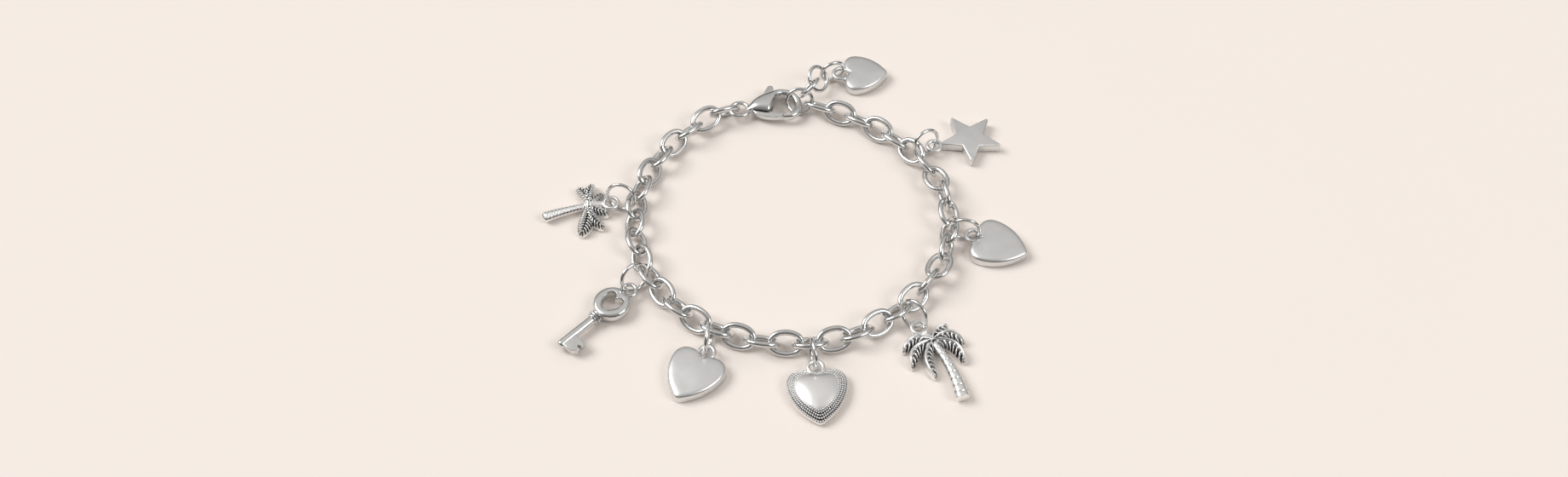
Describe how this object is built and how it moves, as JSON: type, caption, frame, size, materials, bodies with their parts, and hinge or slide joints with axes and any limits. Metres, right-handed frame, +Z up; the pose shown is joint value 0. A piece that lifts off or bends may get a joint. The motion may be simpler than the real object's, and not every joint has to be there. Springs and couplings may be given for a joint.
{
  "type": "charm bracelet",
  "caption": "Charm bracelet lying as a loop: oval cable chain, lobster clasp, short extender, with hearts, a star, a key and palm trees on jump rings.",
  "frame": {"origin": "middle of the bracelet's outline, on the surface it lies on", "axes": "+Z up from that surface, +Y from the charms in front towards the clasp"},
  "size_m": [0.0926, 0.0884, 0.0067],
  "materials": {
    "polished_silver": "polished silver-coloured steel",
    "satin_silver": "soft satin silver-coloured steel",
    "oxidised_silver": "silver-coloured steel, darkened in its recesses"
  },
  "bodies": {
    "bracelet": {"link_01": "polished_silver", "link_02": "polished_silver", "link_03": "polished_silver", "link_04": "polished_silver", "link_05": "polished_silver", "link_06": "polished_silver", "link_07": "polished_silver", "link_08": "polished_silver", "link_09": "polished_silver", "link_10": "polished_silver", "link_11": "polished_silver", "link_12": "polished_silver", "link_13": "polished_silver", "link_14": "polished_silver", "link_15": "polished_silver", "link_16": "polished_silver", "link_17": "polished_silver", "link_18": "polished_silver", "link_19": "polished_silver", "link_20": "polished_silver", "link_21": "polished_silver", "link_22": "polished_silver", "link_23": "polished_silver", "link_24": "polished_silver", "link_25": "polished_silver", "link_26": "polished_silver", "link_27": "polished_silver", "link_28": "polished_silver", "link_29": "polished_silver", "link_30": "polished_silver", "link_31": "polished_silver", "link_32": "polished_silver", "link_33": "polished_silver", "link_34": "polished_silver", "link_35": "polished_silver", "link_36": "polished_silver", "link_37": "polished_silver", "link_38": "polished_silver", "link_39": "polished_silver", "clasp_body": "polished_silver", "end_ring": "polished_silver", "extender_ring_1": "polished_silver", "extender_ring_2": "polished_silver", "extender_ring_3": "polished_silver", "jump_ring_palm_small": "polished_silver", "jump_ring_key": "polished_silver", "jump_ring_heart_left": "polished_silver", "jump_ring_heart_beaded": "polished_silver", "jump_ring_palm_large": "polished_silver", "jump_ring_heart_right": "polished_silver", "jump_ring_star": "polished_silver", "charm_palm_small": "oxidised_silver", "charm_key": "polished_silver", "charm_heart_left": "satin_silver", "charm_heart_beaded": "oxidised_silver", "charm_palm_large": "oxidised_silver", "charm_heart_right": "satin_silver", "charm_star": "satin_silver", "charm_heart_end": "satin_silver"},
    "lever": {"clasp_lever": "polished_silver"}
  },
  "joints": [
    {"name": "lever_hinge", "type": "hinge", "parent": "bracelet", "child": "lever", "pos_m": [-0.00439, 0.02923, 0.0017], "axis": [0, 0, 1], "range_deg": [0, 20], "stiffness_Nm_per_rad": 0.0005}
  ]
}
